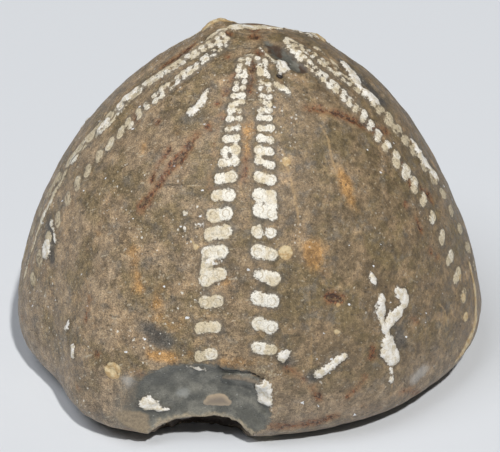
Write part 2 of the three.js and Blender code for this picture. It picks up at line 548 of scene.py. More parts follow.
# The seams between the shell's plates left fine pale lines.
SEAMS = [
    [(13, 0.359, 0.08), (15, 0.429, 0.1), (16, 0.494, 0.1), (15.5, 0.574, 0.08)],
    [(35, 0.319, 0.06), (36, 0.354, 0.1), (34, 0.394, 0.14), (34, 0.44, 0.08)],
    [(17, 0.66, 0.06), (17, 0.748, 0.1), (17, 0.833, 0.1)],
    [(38.5, 0.94, 0.1), (38, 1.0, 0.1), (38, 1.11, 0.1)],
    [(58, 0.80, 0.1), (60, 0.83, 0.12), (60, 0.87, 0.1)],
    [(150, 0.30, 0.06), (152, 0.45, 0.1), (150, 0.6, 0.08)],
    [(-105, 0.3, 0.06), (-107, 0.45, 0.1), (-106, 0.6, 0.08)],
]
# A small shell-shaped flake has sprung off inside the break.
FLAKE = [
    [(-10.2, 0.963, 0.55), (-9, 0.953, 0.9), (-6.6, 0.95, 1.05), (-5.0, 0.96, 0.6)],
]
# At the left foot of the arch some skin is left over the break.
FOOT = [
    [(-29.5, 1.0, 0.7), (-27, 1.1, 1.1), (-26, 1.3, 1.2)],
]
HAZE = [
    [(46, 0.965, 0.8), (50, 0.955, 0.7)],
    [(-28, 0.87, 0.7)], [(-16.4, 0.925, 0.6)], [(-126, 0.8, 0.8)],
]
print(f"{len(CHALK)} chalk crusts, {len(BANDS)} bands, {len(SEAMS)} seams")

# %% Where the rust, stains and bare places are
# A vein with a negative half width is only a blush round a missing line.
RUST = [
    [(-28, 0.335, 0.36), (-29, 0.364, 0.45), (-32, 0.399, 0.62), (-33, 0.419, 0.58)],
    [(-33, 0.419, 0.58), (-34.5, 0.45, 0.42), (-36, 0.484, 0.36), (-38, 0.514, 0.52)],
    [(-37, 0.38, 0.2), (-38.5, 0.42, 0.24), (-38.5, 0.454, 0.2)],
    [(-24, 0.31, 0.3)],
    [(32, 0.269, 0.36), (43, 0.294, 0.36), (50, 0.319, 0.38), (54, 0.339, 0.38), (62, 0.38, 0.4)],
    [(61, 0.384, 0.25), (70, 0.414, 0.26)],
    [(-100, 0.18, 0.4), (-96, 0.205, 0.7), (-93, 0.235, 0.6), (-90, 0.26, 0.3)],
    [(7, 1.2, 0.45), (12, 1.25, 0.45), (18, 1.2, 0.42), (23, 1.1, 0.3)],
    [(11, 0.838, 0.22), (13, 0.853, 0.25), (15, 0.873, 0.16)],
    [(17, 0.903, 0.32), (19, 0.938, 0.28)],
    [(31, 0.898, 0.16), (28, 0.923, 0.2), (26, 0.943, 0.22)],
    [(41, 1.0, 0.28), (45, 1.1, 0.24), (49, 1.3, 0.2)],
    [(23, 0.683, 0.7), (26, 0.69, 0.35)],
    [(33.3, 0.845, 0.4), (33.3, 0.825, 0.3)],
    [(47, 0.79, -0.15), (49, 0.81, -0.1)],
    [(52, 0.73, -0.3)],
    [(30, 1.0, -0.2), (36, 1.2, -0.2)],
    [(-20, 0.27, -0.1), (-16, 0.45, -0.2)],
    [(-3.6, 0.374, 0.2), (-2.4, 0.399, 0.3), (-4, 0.419, 0.24)],
    [(-15, 0.44, 0.07), (-12, 0.452, 0.1), (-9, 0.456, 0.1)],
    [(66, 0.49, 0.28), (65, 0.51, 0.32), (64, 0.534, 0.28)],
    [(69, 0.56, 0.32), (71, 0.60, 0.3)],
    [(71, 0.57, 0.12), (71, 0.60, 0.16)],
    [(59, 0.60, 0.1), (59, 0.63, 0.15)],
    [(57, 0.559, 0.2)],
    [(-68, 0.36, 0.3), (-63, 0.365, 0.34)],
    [(-52, 0.34, 0.2)], [(78, 1.0, 0.42)], [(60, 0.678, 0.16)], [(62, 0.703, 0.16)],
    [(-44, 0.728, 0.13), (-44, 0.748, 0.14), (-43, 0.773, 0.1)],
    [(-37, 0.83, 0.3)], [(-42, 0.95, 0.26)],
    [(-27, 0.845, 0.2), (-25, 0.85, 0.2)],
    [(-28, 1.32, 0.5)], [(-78, 0.80, 0.26)], [(-77, 0.88, 0.24)], [(-75, 0.95, 0.24)],
    [(-108, 0.088, 0.42)], [(-159, 0.022, 0.7)],
    [(-172, 0.06, 0.5), (-175, 0.10, 0.6)],
    [(158, 0.10, 0.3)], [(8, 0.069, 0.4)], [(-46, 0.112, 0.25)],
    [(-175, 0.14, 0.3), (168, 0.15, 0.25)],
    [(20, 0.186, 0.2)],
    [(-20, 0.15, 0.3), (-23, 0.18, 0.2)],
    [(-22, 0.215, 0.3)], [(-17, 0.28, 0.22)], [(-25, 0.25, 0.16)],
    [(-5, 0.11, 0.25), (-5, 0.135, 0.4), (-5, 0.17, 0.36), (-5, 0.2, 0.2)],
    [(128, 0.36, 0.3), (122, 0.44, 0.35), (118, 0.5, 0.2)],
    [(-160, 0.7, 0.3), (-166, 0.75, 0.4), (-170, 0.8, 0.2)],
    [(178, 0.3, 0.35), (172, 0.36, 0.25)],
]
OCHRE = [
    [(20, 0.575, 0.8), (20, 0.61, 0.9), (22, 0.628, 0.7)],
    [(-22, 0.715, 0.7), (-19, 0.735, 0.9)],
    [(-23.5, 0.65, 0.5), (-24, 0.69, 0.6)],
    [(-14, 0.79, 0.6)],
    [(-24, 0.80, 0.6), (-18, 0.80, 0.5)],
    [(-6, 0.805, 0.6), (0, 0.815, 0.5)],
    [(-6, 0.63, 0.45)],
    [(-35, 0.60, 0.5), (-30, 0.66, 0.7)],
    [(-50, 0.40, 0.5)],
    [(-52, 0.53, 0.4), (-50, 0.60, 0.4)],
    [(-42, 0.75, 0.42)],
    [(-3, 0.30, 0.4), (-3, 0.36, 0.4)],
    [(-38, 0.34, 0.4)],
    [(36, 0.44, 0.5), (37, 0.52, 0.4)],
    [(100, 0.6, 0.8)],
    [(-130, 0.5, 0.9), (-124, 0.56, 0.6)],
    [(160, 0.6, 0.7)],
]
# Dark grey smudges: partly stains on the skin, partly painted shadow, as beside the chalk crust on the right
# flank.
SMUDGES_AND_SHADE = [
    [(-26, 0.735, 0.8), (-23, 0.757, 1.3), (-20, 0.772, 0.8)],
    [(-66, 0.725, 0.7), (-70, 0.70, 1.4), (-75, 0.68, 1.0)],
    [(17.3, 0.874, 0.75)],
    [(40.5, 0.778, 0.5), (42, 0.80, 0.9), (42.5, 0.835, 1.1)],
    [(96, 0.26, 0.9), (91, 0.31, 1.2), (85, 0.37, 1.0)],
    [(84, 0.5, 0.8), (84, 0.57, 0.9)],
    [(11, 0.825, 0.6)], [(-34, 1.13, 0.8)], [(-37, 0.31, 0.5)], [(-120, 0.7, 1.6)],
    [(140, 0.75, 1.8)],
]
BARE = [
    [(62, 0.04, 0.7), (46, 0.085, 1.3), (48, 0.13, 1.3), (50, 0.165, 0.9)],
]
# Where a scrap of skin overhangs the break, a ledge stands below a crack painted near black as shade.
LEDGE = [
    [(-5.7, 0.862, 0.3), (-2.1, 0.859, 0.38), (1.7, 0.864, 0.38), (4.4, 0.876, 0.3)],
]
# Pits and the crack above the ledge are sunk and painted near black: painted shade in their hollows.
PITS = [
    [(24.5, 0.162, 0.42)],
    [(-34, 0.845, 0.12), (-31, 0.856, 0.12)],
    [(71, 0.58, 0.1), (71.5, 0.60, 0.12)],
    [(59, 0.61, 0.1), (59.3, 0.625, 0.12)],
    [(-7.2, 0.824, 0.1), (-6.1, 0.845, 0.15), (-2.8, 0.842, 0.17), (1.7, 0.847, 0.15), (5.4, 0.868, 0.1)],
]
print(f"{len(RUST)} rust veins, {len(OCHRE)} ochre patches, {len(PITS)} pits")

# %% Distances to the marks
# Each field has its trails, and how far and how finely its edge wanders.
FIELDS = {
    "chalk": (CHALK, 0.30, 1.1),
    "rust": (RUST, 0.30, 1.1),
    "ochre": (OCHRE, 0.9, 2.4),
    "smudge_and_shade": (SMUDGES_AND_SHADE, 0.5, 1.8),
    "tan": (TAN, 0.12, 0.9),
    "ledge": (LEDGE, 0.12, 1.2),
    "flake": (FLAKE, 0.06, 1.0),
    "foot": (FOOT, 0.25, 1.2),
    "bare": (BARE, 0.3, 1.5),
    "seam": (SEAMS, 0.05, 1.0),
    "haze": (HAZE, 0.3, 1.2),
    "shaded_pit": (PITS, 0.04, 0.5),
}
fields = {}
for number, (name, (trails, wander, size)) in enumerate(FIELDS.items()):
    fields[name] = distance_to_trails(smooth, trails) + wander * rough_grain(smooth, size, 10 * number + 11)

band_distance = distance_to_trails(smooth, BANDS) + 0.3 * rough_grain(smooth, 1.1, 191)
on_band = band_distance < pore_distance
fields["pore"] = np.minimum(pore_distance, band_distance) + 0.22 * rough_grain(smooth, 0.8, 201)
fields["eye"] = pore_eye
fields["rim_underside_shade"] = 0.75 * hump(grid_station - 1.8, 0.28)  # painted shade under the rim, darkest towards the edge of the sole
fields["between"] = pore_distance
band_kept = edge_fade(band_distance - 0.3, 0.3) * (0.85 + 0.3 * rough_grain(smooth, 1.5, 211))
band_kept = np.maximum(band_kept, pore_kept * edge_fade(pore_distance, 0.2))
fields["kept"] = np.where(on_band, band_kept, pore_kept)
for name, values in fields.items():
    print(f"{name}: {(values < 0).sum()} points inside")

# %% [markdown]
# ## The break in the rim
# A knock has taken a shell-shaped flake off the front of the rim, and under it a bigger piece is
# gone, which leaves an arch. In Blender this could be a boolean cut, but a cut through so fine a
# mesh is slow and leaves slivers. Instead, each point is pulled along a line towards the heart of
# the stone until it is out of the piece that was lost. The grid stays whole, and grain in the
# cutting shape gives the ragged edge and the ripples that broken flint has.

# %% Shapes of the lost pieces
HEART = np.array([0.0, 2.0, 9.0])
BLOW = np.array([-3.0, -30.0, 2.0])  # where the stone was struck: ripples spread from it
RIPPLE_HEIGHT, RIPPLE_RATE = 0.035, 4.2
HALVINGS = 18


def lost_piece(points, centre, half, power, raggedness, seed, skew=0.0):
    """Roughly the distance in mm outside a rounded block, longer to the left by a share `skew`."""
    offset = points - (np.array(centre) + AXIS)
    offset[:, 0] *= np.where(offset[:, 0] < 0, 1 / (1 + skew), 1 / (1 - skew))
    offset = np.abs(offset) / np.array(half)
    level = (offset**power).sum(axis=1) ** (1 / power)
    return (level - 1) * min(half) + raggedness * rough_grain(points, 1.6, seed)


def scar_shape(points):
    from_blow = np.linalg.norm(points - BLOW, axis=1)
    piece = lost_piece(points, (-6.2, -29.6, 6.3), half=(11.0, 3.9, 8.2), power=2.7, raggedness=0.10, seed=81)
    return piece + RIPPLE_HEIGHT * np.sin(from_blow * RIPPLE_RATE)


def notch_shape(points):
    half = (7.8, 8.4, 5.3)
    return lost_piece(points, (-4.4, -29.5, -0.4), half, power=2.2, raggedness=0.30, seed=91, skew=0.24)


def mouth_shape(points):
    return lost_piece(points, (0.5, -10.5, -0.2), half=(4.6, 2.9, 1.7), power=2, raggedness=0.06, seed=101)


def vent_shape(points):
    return lost_piece(points, (0.5, 25.4, 1.0), half=(2.6, 2.2, 1.6), power=2, raggedness=0.06, seed=111)


def pull_out_of(points, shape):
    """Moves the points that lie in a lost piece towards the heart, to the broken face."""
    inside = np.nonzero(shape(points) < 0)[0]
    near, far = np.zeros(len(inside)), np.ones(len(inside))
    lines = points[inside] - HEART
    for _ in range(HALVINGS):
        middle = (near + far) / 2
        out = shape(HEART + lines * middle[:, None]) > 0
        near = np.where(out, middle, near)
        far = np.where(out, far, middle)
    pulled = points.copy()
    pulled[inside] = HEART + lines * near[:, None]
    return pulled


fields["scar"] = scar_shape(smooth)
broken = pull_out_of(smooth, scar_shape)
fields["notch"] = notch_shape(broken)
for shape in (notch_shape, mouth_shape, vent_shape):
    broken = pull_out_of(broken, shape)
print(f"the break moved {(np.abs(broken - smooth).max(axis=1) > 0.01).sum()} points")

# %% [markdown]
# ## Relief
# Fillings and crusts stand a few tenths of a millimetre proud, because they are harder than the
# skin round them. Veins and cracks are sunk. All of it is pushed out along the surface's own
# direction, before any colour is thought of: relief that is real casts its own shadows and shows
# in the outline. The flat sole isn't touched, so that the stone still stands level.

# %% Which way is out
def ring_faces():
    """Four-sided faces between the rings, and a fan at the crown and at the middle of the sole."""
    rings = len(stations)
    first = 1 + np.arange(rings * COLUMNS).reshape(rings, COLUMNS)
    after = np.roll(first, -1, axis=1)
    quads = np.stack([first[:-1], first[1:], after[1:], after[:-1]], -1).reshape(-1, 4)
    crown = [(0, int(a), int(b)) for a, b in zip(first[0], after[0])]
    sole = [(rings * COLUMNS + 1, int(b), int(a)) for a, b in zip(first[-1], after[-1])]
    return quads, crown, sole


quads, crown_fan, sole_fan = ring_faces()


def outward(points):
    """The direction straight out of the surface at each point."""
    a, b, c, d = (points[quads[:, i]] for i in range(4))
    face = np.cross(c - a, d - b)
    total = np.zeros_like(points)
    for i in range(4):
        np.add.at(total, quads[:, i], face)
    total[0] = (0, 0, 1)
    total[-1] = (0, 0, -1)
    return total / np.maximum(np.linalg.norm(total, axis=1, keepdims=True), 1e-12)


out = outward(broken)
print("the crown's neighbours face", out[1].round(2))

# %% Push the relief out
# How far each mark stands proud of the skin, and how soft its edge is.
PLAIN_RELIEF = {
    "tan": (0.12, 0.2), "ledge": (0.5, 0.2), "flake": (0.25, 0.5), "foot": (0.12, 0.8),
    "bare": (-0.45, 0.9), "smudge_and_shade": (-0.18, 1.4), "shaded_pit": (-0.45, 0.2),
}
SOLE_FROM = 1.85  # the station from which the sole is left flat

on_skin = edge_fade(-fields["scar"] + 0.1, 0.3)
kept = np.clip(fields["kept"], 0, 1) * on_skin
filling = edge_fade(fields["pore"], 0.22) * kept
dimple = hump(pore_eye, 0.35) * filling
moat = hump(fields["pore"] - 0.35, 0.26) * kept
lumps = 1 + 0.4 * rough_grain(smooth, 0.7, 121)

relief = 0.13 * filling * lumps - 0.05 * dimple - 0.06 * moat
relief += 0.32 * edge_fade(fields["chalk"], 0.25) * lumps
relief -= 0.13 * edge_fade(fields["rust"], 0.3) * lumps
relief += 0.03 * edge_fade(fields["seam"] - 0.1, 0.15)
for name, (rise, softness) in PLAIN_RELIEF.items():
    relief += rise * edge_fade(fields[name], softness)
relief += 0.18 * grain(smooth, 14.0, 151) + 0.18 * rough_grain(smooth, 7.0, 131)
relief += 0.05 * rough_grain(smooth, 1.4, 141) * on_skin
relief *= edge_fade(grid_station - SOLE_FROM, 0.14)
print(f"relief from {relief.min():.2f} to {relief.max():.2f} mm")

# %% Lumps at the crown
# A knob stands behind the crown to the left, and a low bump sits on the right shoulder.
KNOBS = [(-3.4, 3.2, 3.4, 0.9), (-3.3, 5.6, 1.8, 0.75), (8.6, 7.6, 1.5, 0.5)]  # x, y, spread, height
for x, y, spread, rise in KNOBS:
    across = np.linalg.norm(smooth[:, :2] - AXIS[:2] - (x, y), axis=1)
    relief += rise * hump(across, spread) * (grid_station < 1)

stone = broken + out * relief[:, None]
stone[:, 2] = np.maximum(stone[:, 2], 0)
print("the stone reaches", stone.max(axis=0).round(1), "mm")

# %% [markdown]
# ## Making the mesh
# The points and faces become one mesh, in metres. Its flat map spreads the dome out as a disc, with
# the sole as a smaller disc in the corner, so that a baked finish has an even share of detail.

# %% Build the stone
DOME_DISC = (0.44, 0.44, 0.44)  # the middle and the radius of each disc on the flat map
SOLE_DISC = (0.855, 0.855, 0.14)


def disc_place(azimuth, share, disc):
    across, up, radius = disc
    turn = np.radians(azimuth)
    return np.stack([across + radius * share * np.sin(turn), up - radius * share * np.cos(turn)], -1)


def flat_map(mesh):
    """Gives every face corner its place on the map: faces past station 2 belong to the sole."""
    corner_point = np.zeros(len(mesh.loops), int)
    mesh.loops.foreach_get("vertex_index", corner_point)
    first = np.zeros(len(mesh.polygons), int)
    mesh.polygons.foreach_get("loop_start", first)
    count = np.zeros(len(mesh.polygons), int)
    mesh.polygons.foreach_get("loop_total", count)
    face_station = np.add.reduceat(grid_station[corner_point], first) / count
    on_sole = np.repeat(face_station > 2, count)
    azimuth, station = grid_azimuth[corner_point], grid_station[corner_point]
    dome = disc_place(azimuth, np.minimum(station, 2) ** 0.9 / 2**0.9, DOME_DISC)
    sole = disc_place(-azimuth, 3 - np.maximum(station, 2), SOLE_DISC)
    places = np.where(on_sole[:, None], sole, dome)
    mesh.uv_layers.new(name="OFBake").uv.foreach_set("vector", places.astype(np.float32).ravel())


def build_stone():
    mesh = bpy.data.meshes.new("flint_urchin_stone")
    faces = [tuple(int(i) for i in q) for q in quads] + crown_fan + sole_fan
    mesh.from_pydata((stone * MM).tolist(), [], faces)
    mesh.update()
    mesh.shade_smooth()
    flat_map(mesh)
    for name, values in fields.items():
        field = mesh.attributes.new(name, "FLOAT", "POINT")
        field.data.foreach_set("value", np.asarray(values, np.float32))
    fossil = bpy.data.objects.new("fossil_stone", mesh)
    bpy.context.scene.collection.objects.link(fossil)
    return fossil


fossil = build_stone()
print(f"{sum(len(p.vertices) - 2 for p in fossil.data.polygons)} triangles, {len(fields)} fields")

# %% [markdown]
# ## A small kit for wiring materials
# A node material is a graph, and writing it link by link hides the idea. These few helpers make one
# node each and return its output, so the material below reads like a recipe.

# %% Material kit
class Recipe:
    """Makes nodes in one material. Sizes are in millimetres."""

    def __init__(self, name):
        self.material = bpy.data.materials.new(name)
        self.material.use_nodes = True
        self.tree = self.material.node_tree
        self.shader = self.tree.nodes["Principled BSDF"]
        self.place = self.add("ShaderNodeTexCoord").outputs["Object"]

    def add(self, kind, **settings):
        node = self.tree.nodes.new(kind)
        for name, value in settings.items():
            setattr(node, name, value)
        return node

    def feed(self, socket, value):
        """Links an output into a socket, or sets the socket to a plain number or colour."""
        if isinstance(value, bpy.types.NodeSocket):
            self.tree.links.new(value, socket)
        elif isinstance(value, tuple) and len(value) == 3 and socket.type == "RGBA":
            socket.default_value = (*value, 1)
        else:
            socket.default_value = value

    def field(self, name):
        return self.add("ShaderNodeAttribute", attribute_name=name).outputs["Fac"]

    def along(self, axis):
        """How far along X, Y or Z a point is, in millimetres."""
        split = self.add("ShaderNodeSeparateXYZ")
        self.feed(split.inputs[0], self.place)
        return self.times(split.outputs[axis], 1000.0)

    def turned(self, turn, stretch):
        """The place, turned and then stretched, for features that are longer one way."""
        node = self.add("ShaderNodeMapping", vector_type="TEXTURE")
        node.inputs["Rotation"].default_value = turn
        node.inputs["Scale"].default_value = stretch
        self.feed(node.inputs["Vector"], self.place)
        return node.outputs["Vector"]

    def noise(self, size, detail=4.0, roughness=0.55, place=None):
        """Random mottle with blotches about `size` mm across, from 0 to 1."""
        node = self.add("ShaderNodeTexNoise")
        self.feed(node.inputs["Vector"], place or self.place)
        node.inputs["Scale"].default_value = 1000 / size
        node.inputs["Detail"].default_value = detail
        node.inputs["Roughness"].default_value = roughness
        return node.outputs["Fac"]

    def maths(self, operation, a, b=0.0, clamp=False):
        node = self.add("ShaderNodeMath", operation=operation, use_clamp=clamp)
        self.feed(node.inputs[0], a)
        self.feed(node.inputs[1], b)
        return node.outputs[0]

    def times(self, a, b, clamp=False):
        return self.maths("MULTIPLY", a, b, clamp)

    def plus(self, a, b, clamp=False):
        return self.maths("ADD", a, b, clamp)

    def wander(self, size, detail, reach):
        """Random numbers that stray up to half of `reach` either side of nothing."""
        return self.times(self.maths("SUBTRACT", self.noise(size, detail), 0.5), reach)

    def ramp(self, value, low, high, low_to=0.0, high_to=1.0):
        """Smoothly turns `low` to `high` into `low_to` to `high_to`."""
        node = self.add("ShaderNodeMapRange", interpolation_type="SMOOTHSTEP")
        self.feed(node.inputs["Value"], value)
        node.inputs["From Min"].default_value = low
        node.inputs["From Max"].default_value = high
        node.inputs["To Min"].default_value = low_to
        node.inputs["To Max"].default_value = high_to
        return node.outputs["Result"]

    def blotches(self, size, detail, low, high, low_to=0.0, high_to=1.0, roughness=0.55):
        """Random mottle, sharpened so that it runs from `low_to` to `high_to`."""
        return self.ramp(self.noise(size, detail, roughness), low, high, low_to, high_to)

    def mix(self, share, a, b):
        node = self.add("ShaderNodeMix", data_type="RGBA")
        self.feed(node.inputs["Factor"], share)
        self.feed(node.inputs["A"], a)
        self.feed(node.inputs["B"], b)
        return node.outputs["Result"]

    def shade(self, colour, factor):
        """The colour made lighter or darker by a factor."""
        node = self.add("ShaderNodeVectorMath", operation="SCALE")
        self.feed(node.inputs["Vector"], colour)
        self.feed(node.inputs["Scale"], factor)
        return node.outputs["Vector"]

    def grainy(self, colour, *mottle, **roughness):
        """The colour with random light and dark grain in it."""
        return self.shade(colour, self.blotches(*mottle, **roughness))

    def lay(self, colour, over, mask, share=1.0):
        """The colour with another laid over it where the mask is 1, `share` of it at most."""
        return self.mix(self.times(mask, share, clamp=True), colour, over)

    def specks(self, spacing, size, share, place=None):
        """Ragged dots up to `size` mm across, in a `share` of cells `spacing` mm wide."""
        node = self.add("ShaderNodeTexVoronoi")
        self.feed(node.inputs["Vector"], place or self.place)
        node.inputs["Scale"].default_value = 1000 / spacing
        chance = self.add("ShaderNodeSeparateColor")
        self.feed(chance.inputs["Color"], node.outputs["Color"])
        reach = self.times(chance.outputs["Green"], size / 2 / spacing)
        inside = self.maths("SUBTRACT", reach, node.outputs["Distance"])
        wander = self.wander(0.2, 2, size / spacing)
        dot = self.ramp(self.plus(inside, wander), 0.0, 0.06 / spacing)
        return self.times(dot, self.maths("LESS_THAN", chance.outputs["Red"], share))

    def dashes(self, width, turn, share):
        """Straight scratches up to `width` mm wide and seven times as long."""
        return self.specks(0.55, width, share, self.turned(turn, (1, 1, 7)))


def rgb(red, green, blue):
    """A colour given on a 0 to 255 scale, as the linear light Blender wants."""
    def linear(value):
        share = value / 255
        return share / 12.92 if share <= 0.04045 else ((share + 0.055) / 1.055) ** 2.4
    return (linear(red), linear(green), linear(blue))


print("a mid grey of 128 is", round(rgb(128, 128, 128)[0], 3), "in linear light")

# %% [markdown]
# ## The weathered skin
# Flint is nearly black inside. Long weathering has given this piece a grey-brown skin, olive in
# some places and tan in others, freckled at every scale. It is built up as the stone itself was:
# first the broad drift of colour, then blotches, then fine freckles, with each layer only partly
# covering the last. The freckles are kept apart as a factor, so their strength is one number.

# %% Skin colours
skin = Recipe("weathered_flint")
coarse = skin.ramp(skin.along("X"), -6, 16, 1, 0.4)  # the right flank is smoother


def skin_colour(kit):
    left = kit.ramp(kit.along("X"), -26, 20, 1, 0)  # the left flank is paler
    colour = kit.mix(left, rgb(124, 106, 80), rgb(157, 137, 111))
    olive = kit.blotches(5.5, 6, 0.45, 0.6, 0, 0.75, roughness=0.66)
    colour = kit.mix(olive, colour, rgb(116, 101, 70))
    warm = kit.blotches(3.0, 6, 0.50, 0.66, 0, 0.6, roughness=0.65)
    colour = kit.mix(warm, colour, rgb(168, 142, 110))
    grey = kit.blotches(2.0, 6, 0.50, 0.66, 0, 0.6, roughness=0.7)
    colour = kit.mix(grey, colour, rgb(116, 110, 100))
    low = kit.ramp(kit.along("Z"), 3, 13, 0.6, 0)  # and so is the foot of the stone
    return kit.mix(low, colour, rgb(150, 134, 116))


def freckles(kit):
    """A factor for the skin's brightness, uneven from patches to single grains."""
    patches = kit.blotches(1.6, 5, 0.33, 0.67, 0.66, 1.34, roughness=0.75)
    mottle = kit.blotches(0.6, 3, 0.32, 0.68, 0.78, 1.22, roughness=0.7)
    grit = kit.blotches(0.15, 2, 0.34, 0.66, 0.68, 1.32, roughness=0.7)
    grit = kit.plus(kit.times(kit.maths("SUBTRACT", grit, 1.0), coarse), 1.0)
    streaks = kit.ramp(kit.noise(0.8, 3, 0.6, kit.turned((0.3, 0, 0), (1, 1, 7))), 0.3, 0.7, 0.86, 1.14)
    return kit.times(kit.times(patches, mottle), kit.times(grit, streaks))


def soft_edge(kit, name, softness, ragged, size):
    """1 inside a mark and 0 outside, with an edge that wanders by `ragged` mm."""
    distance = kit.plus(kit.field(name), kit.wander(size, 3, ragged))
    return kit.ramp(distance, -softness, softness, 1, 0)


colour = skin_colour(skin)
ochre = soft_edge(skin, "ochre", 0.8, 2.0, 0.9)
ochre = skin.times(ochre, skin.ramp(skin.field("ochre"), -1.0, 0.5, 0.72, 0.36))
colour = skin.mix(ochre, colour, rgb(178, 134, 78))
# Dark grey smudges, partly painted shadow.
smudge_and_shade = soft_edge(skin, "smudge_and_shade", 0.8, 1.4, 0.7)
colour = skin.lay(colour, rgb(84, 82, 78), smudge_and_shade, 0.85)
colour = skin.shade(colour, freckles(skin))
# Painted shade: the rim's underside goes near black towards the sole, where shade falls under the overhang.
colour = skin.mix(skin.field("rim_underside_shade"), colour, rgb(34, 28, 24))
print(len(skin.tree.nodes), "nodes for the skin")

# %% Scratches and salt
SCRATCH_TURNS = [(0.35, 0.0, 0.0), (0.5, 0.9, 0.0), (0.3, -0.8, 0.3), (0.2, 1.4, 0.0)]


def scatter(kit, colour):
    """Pale and dark scratches, salt grains, and painted highlights as bright specks over the skin."""
    for number, turn in enumerate(SCRATCH_TURNS):
        pale = kit.times(kit.dashes(0.3, turn, 0.4), coarse)
        colour = kit.lay(colour, rgb(196, 184, 160), pale, 0.6)
        if number % 2:
            turn = (turn[0] + 0.5, turn[1], turn[2] + 0.4)
            colour = kit.lay(colour, rgb(70, 60, 46), kit.dashes(0.32, turn, 0.4), 0.6)
    colour = kit.lay(colour, rgb(190, 180, 158), kit.specks(0.5, 0.3, 0.4), 0.5)
    colour = kit.lay(colour, rgb(66, 56, 44), kit.specks(0.7, 0.4, 0.5), 0.7)
    crowd = kit.times(kit.blotches(6, 2, 0.48, 0.62), coarse)
    salt = kit.times(kit.specks(0.55, 0.36, 0.6), crowd)
    colour = kit.lay(colour, rgb(226, 222, 210), salt, 0.9)
    # Painted highlights: bright specks of reflected light laid on as near-white colour.
    painted_glints = kit.specks(1.9, 0.55, 0.4, kit.turned((0.4, 0.3, 0), (1, 0.5, 1)))
    return kit.mix(painted_glints, colour, rgb(236, 238, 240))


colour = scatter(skin, colour)
seam = soft_edge(skin, "seam", 0.14, 0.7, 0.4)
colour = skin.lay(colour, rgb(196, 164, 118), seam, 0.6)
haze = soft_edge(skin, "haze", 0.6, 1.2, 0.5)
colour = skin.lay(colour, rgb(190, 192, 192), haze, 0.45)
print(len(skin.tree.nodes), "nodes with the scratches")

# %% [markdown]
# ## Marks over the skin
# Now the marks go on, from the deepest to the newest: bare flint, iron stains, pore fillings, and
# the chalk that still clings on top.

# %% Bare flint
flint_tone = skin.mix(skin.blotches(2.2, 5, 0.38, 0.66), rgb(92, 92, 85), rgb(132, 130, 120))
flint_tone = skin.grainy(flint_tone, 0.2, 3, 0.3, 0.7, 0.78, 1.24, roughness=0.7)
flint_tone = skin.lay(flint_tone, rgb(186, 186, 180), skin.specks(0.5, 0.26, 0.4), 0.55)
bare = soft_edge(skin, "bare", 0.3, 1.2, 0.8)
dark_tone = skin.mix(skin.blotches(1.4, 4, 0.45, 0.6), skin.shade(flint_tone, 0.8), rgb(78, 62, 50))
colour = skin.mix(bare, colour, dark_tone)

# %% Iron stains
# Rust is broken up into specks, darkest in the core of a vein, with a warm blush round it.
speckle = skin.blotches(0.4, 4, 0.42, 0.51, roughness=0.8)
rust = skin.times(soft_edge(skin, "rust", 0.25, 1.8, 0.6), speckle)
rust_tone = skin.mix(skin.blotches(0.25, 3, 0.42, 0.58), rgb(62, 37, 27), rgb(142, 88, 54))
core = skin.plus(skin.field("rust"), skin.times(skin.noise(0.6, 2), 0.9))
core = skin.ramp(core, 0.08, 0.26, 1, 0)
rust_tone = skin.lay(rust_tone, rgb(52, 32, 28), core, 0.8)
blush = skin.ramp(skin.field("rust"), -0.1, 0.8, 0.6, 0)
blush = skin.times(blush, skin.blotches(0.6, 4, 0.38, 0.6, roughness=0.7))
colour = skin.mix(blush, colour, rgb(148, 108, 72))
colour = skin.lay(colour, rust_tone, rust, 0.92)

# %% Pore fillings
# A grey moat lies round each filling.
halo = skin.ramp(skin.field("pore"), 0.1, 0.7, 0.55, 0)
halo = skin.times(halo, skin.blotches(1.3, 2, 0.36, 0.56))
halo = skin.times(halo, skin.field("kept"), clamp=True)
moat_tone = skin.grainy(rgb(100, 95, 86), 0.22, 3, 0.3, 0.7, 0.7, 1.35, roughness=0.7)
colour = skin.mix(halo, colour, moat_tone)
# Worn fillings are thin and full of gaps, and only the best kept ones are white.
pore = soft_edge(skin, "pore", 0.12, 1.1, 0.26)
gaps = skin.wander(0.4, 4, 2.2)
wear = skin.plus(skin.field("kept"), gaps)
faint = skin.ramp(skin.field("kept"), 0.1, 0.9, 0.5, 1.0)
pore = skin.times(pore, skin.times(skin.ramp(wear, 0.15, 0.6), faint), clamp=True)
white = skin.plus(skin.field("kept"), skin.wander(1.0, 3, 1.0))
cream = skin.mix(skin.ramp(white, 0.72, 1.12), rgb(222, 208, 178), rgb(246, 242, 230))
cream = skin.grainy(cream, 0.17, 3, 0.3, 0.6, 0.72, 1.06, roughness=0.75)
# Fine cracks, a dull line where two fillings meet, and the ring round each pore's middle.
cracks = skin.maths("ABSOLUTE", skin.wander(0.7, 2, 1.0))
cream = skin.shade(cream, skin.ramp(cracks, 0.0, 0.02, 0.74, 1.0))
between = skin.ramp(skin.field("between"), -0.05, 0.08, 0, 0.8)
between = skin.times(between, skin.ramp(skin.field("between"), 0.25, 0.5, 1, 0))
cream = skin.mix(between, cream, rgb(118, 104, 84))
ring = skin.maths("ABSOLUTE", skin.maths("SUBTRACT", skin.field("eye"), 0.54))
ring = skin.ramp(ring, 0.03, 0.14, 0.6, 0)
ring = skin.times(ring, skin.blotches(0.7, 3, 0.42, 0.56))
cream = skin.mix(ring, cream, rgb(172, 154, 120))
colour = skin.mix(pore, colour, cream)

# %% The break
# The break is crisp on the right and fades into the skin on the left.
x_softness = skin.ramp(skin.along("X"), -16.5, -11.5, 1.3, 0.1)
scar_reach = skin.wander(0.6, 3, 0.5)
scar_reach = skin.maths("DIVIDE", skin.plus(skin.field("scar"), scar_reach), x_softness)
scar = skin.ramp(scar_reach, -1, 1, 1, 0)
scar_tone = skin.lay(flint_tone, rgb(176, 178, 174), haze, 0.5)
colour = skin.mix(scar, colour, scar_tone)
